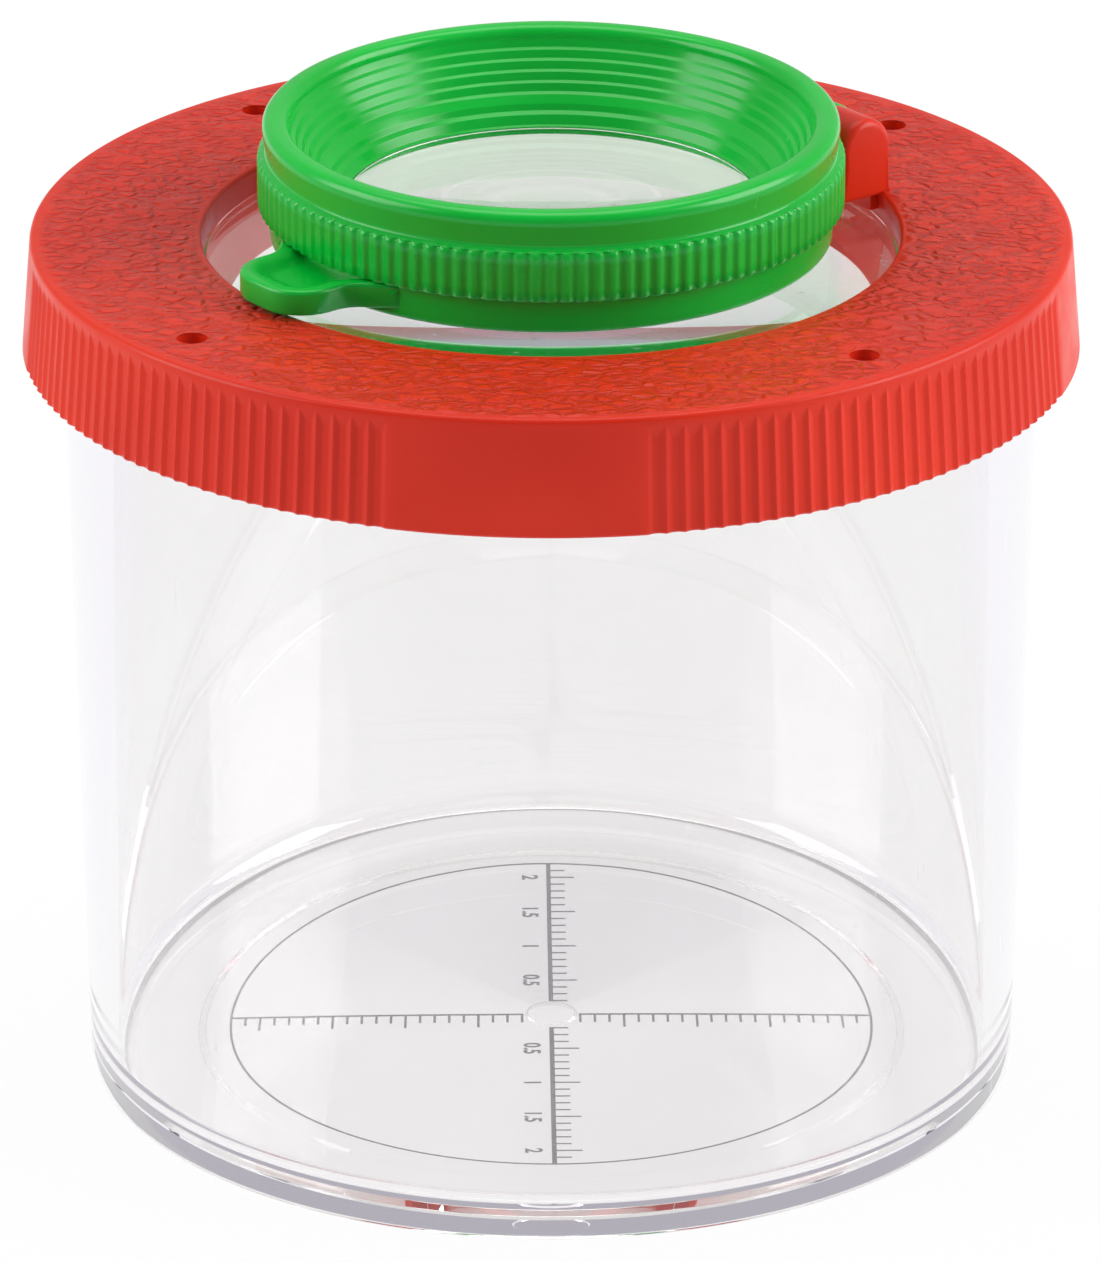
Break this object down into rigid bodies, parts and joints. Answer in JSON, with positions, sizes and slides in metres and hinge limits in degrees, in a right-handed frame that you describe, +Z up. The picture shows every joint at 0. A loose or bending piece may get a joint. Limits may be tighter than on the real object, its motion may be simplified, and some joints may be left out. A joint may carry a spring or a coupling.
{
  "type": "bug viewer jar",
  "caption": "Clear round jar with a ribbed red lid, air holes, a fixed lens window and a hinged green magnifier that flips up.",
  "frame": {"origin": "centre of the jar's underside, on the face it stands on", "axes": "+Z up along the jar's axis; X and Y along the two lines of the scale printed under the floor; the lid's hinge lies 39 degrees from +X towards +Y"},
  "size_m": [0.0698, 0.0698, 0.0668],
  "materials": {
    "clear_polystyrene": "clear polished moulding",
    "clear_lens": "clear polished lens",
    "red_plastic": "satin, leather grain on the top face",
    "green_plastic": "gloss moulding",
    "pin_steel": "drawn wire"
  },
  "bodies": {
    "jar_body": {"jar": "clear_polystyrene"},
    "lid_body": {"lid": "red_plastic", "lid_lens": "clear_lens", "hinge_pin": "pin_steel"},
    "magnifier_body": {"magnifier_frame": "green_plastic", "eyepiece": "green_plastic", "eyepiece_lens": "clear_lens"}
  },
  "joints": [
    {"name": "lid_lift", "type": "slide", "parent": "jar_body", "child": "lid_body", "axis": [0, 0, 1], "range_m": [0, 0.03]},
    {"name": "magnifier_flip", "type": "hinge", "parent": "lid_body", "child": "magnifier_body", "pos_m": [0.01628, 0.01318, 0.0624], "axis": [-0.6293, 0.7771, 0], "range_deg": [0, 150]}
  ]
}
